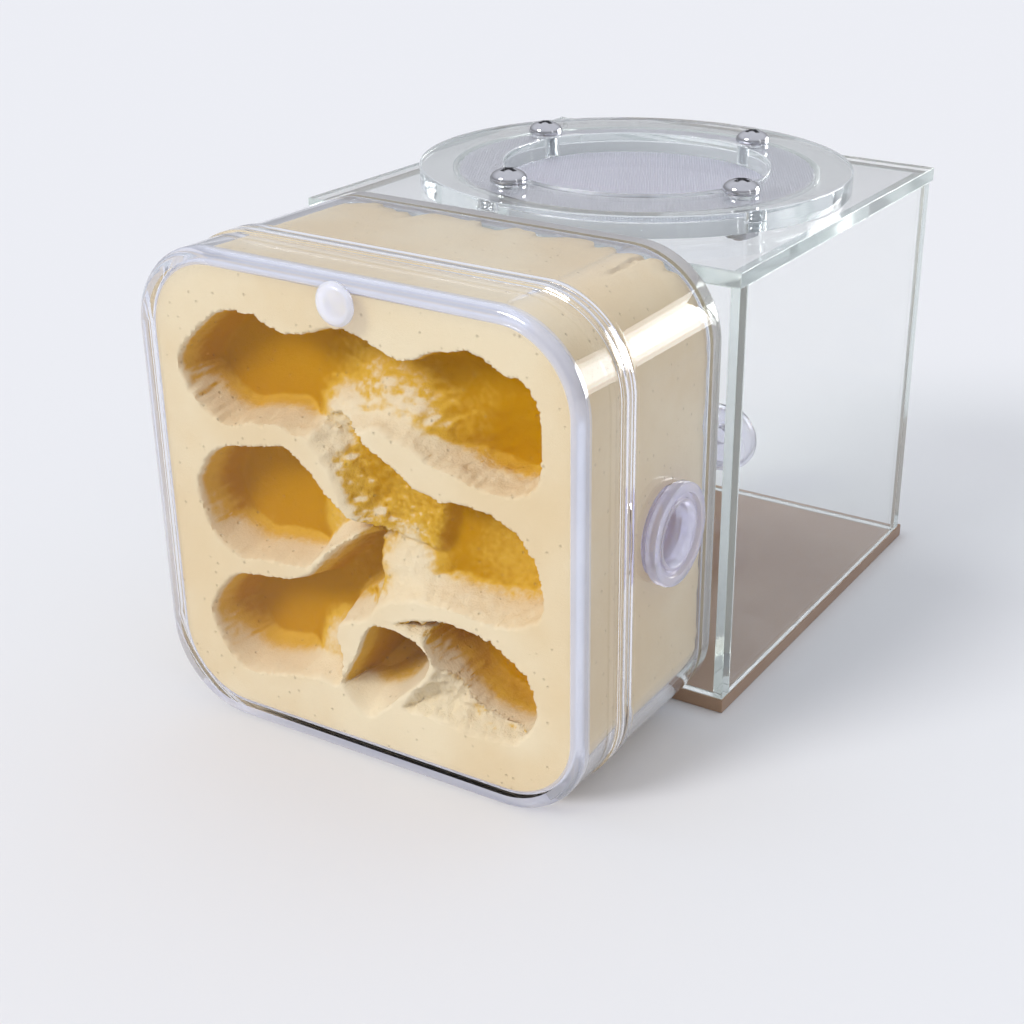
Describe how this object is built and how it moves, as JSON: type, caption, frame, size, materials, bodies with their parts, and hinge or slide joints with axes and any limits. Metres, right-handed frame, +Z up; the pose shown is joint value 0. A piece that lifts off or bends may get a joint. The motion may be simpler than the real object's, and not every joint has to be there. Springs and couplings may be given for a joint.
{
  "type": "ant habitat",
  "caption": "Carved gypsum nest in a clear rounded box with a side port, linked by a tube to a clear square arena with a round meshed lid.",
  "frame": {"origin": "middle of the arena base plate's underside, on the surface it stands on", "axes": "+Z up, +Y from the nest towards the arena's back wall, +X towards the side with the open grommet"},
  "size_m": [0.1, 0.1529, 0.1003],
  "materials": {
    "clear_sheet": "clear cast sheet, polished faces, faintly grey-green cut edges",
    "tan_sheet": "tan-bronze sheet, glossy",
    "clear_moulding": "clear moulded plastic, polished",
    "gypsum": "cream cast gypsum, chalky, ochre inside the galleries",
    "silicone": "translucent lavender-white silicone",
    "mesh": "fine woven stainless wire",
    "screw_steel": "bright plated steel",
    "nut_steel": "plain plated steel"
  },
  "bodies": {
    "arena": {"base_plate": "tan_sheet", "front_wall": "clear_sheet", "back_wall": "clear_sheet", "left_wall": "clear_sheet", "right_wall": "clear_sheet", "top_plate": "clear_sheet", "arena_grommet": "silicone"},
    "lid": {"lid_ring": "clear_sheet", "lid_mesh": "mesh", "lid_locating_ring": "clear_sheet", "lid_screws": "screw_steel", "lid_nuts": "nut_steel"},
    "back_stopper": {"back_plug": "silicone"},
    "nest": {"nest_housing": "clear_moulding", "gypsum_block": "gypsum", "side_grommet": "silicone", "link_tube": "clear_moulding"},
    "nest_front": {"nest_window": "clear_moulding"},
    "water_stopper": {"window_plug": "silicone"}
  },
  "joints": [
    {"name": "lid_lift", "type": "slide", "parent": "arena", "child": "lid", "axis": [0, 0, 1], "range_m": [0, 0.06]},
    {"name": "back_plug_pull", "type": "slide", "parent": "arena", "child": "back_stopper", "axis": [0, -1, 0], "range_m": [0, 0.02]},
    {"name": "nest_pull", "type": "slide", "parent": "arena", "child": "nest", "axis": [0, -1, 0], "range_m": [0, 0.06]},
    {"name": "window_pull", "type": "slide", "parent": "nest", "child": "nest_front", "axis": [0, -1, 0], "range_m": [0, 0.04]},
    {"name": "window_plug_pull", "type": "slide", "parent": "nest_front", "child": "water_stopper", "axis": [0, -1, 0], "range_m": [0, 0.015]}
  ]
}
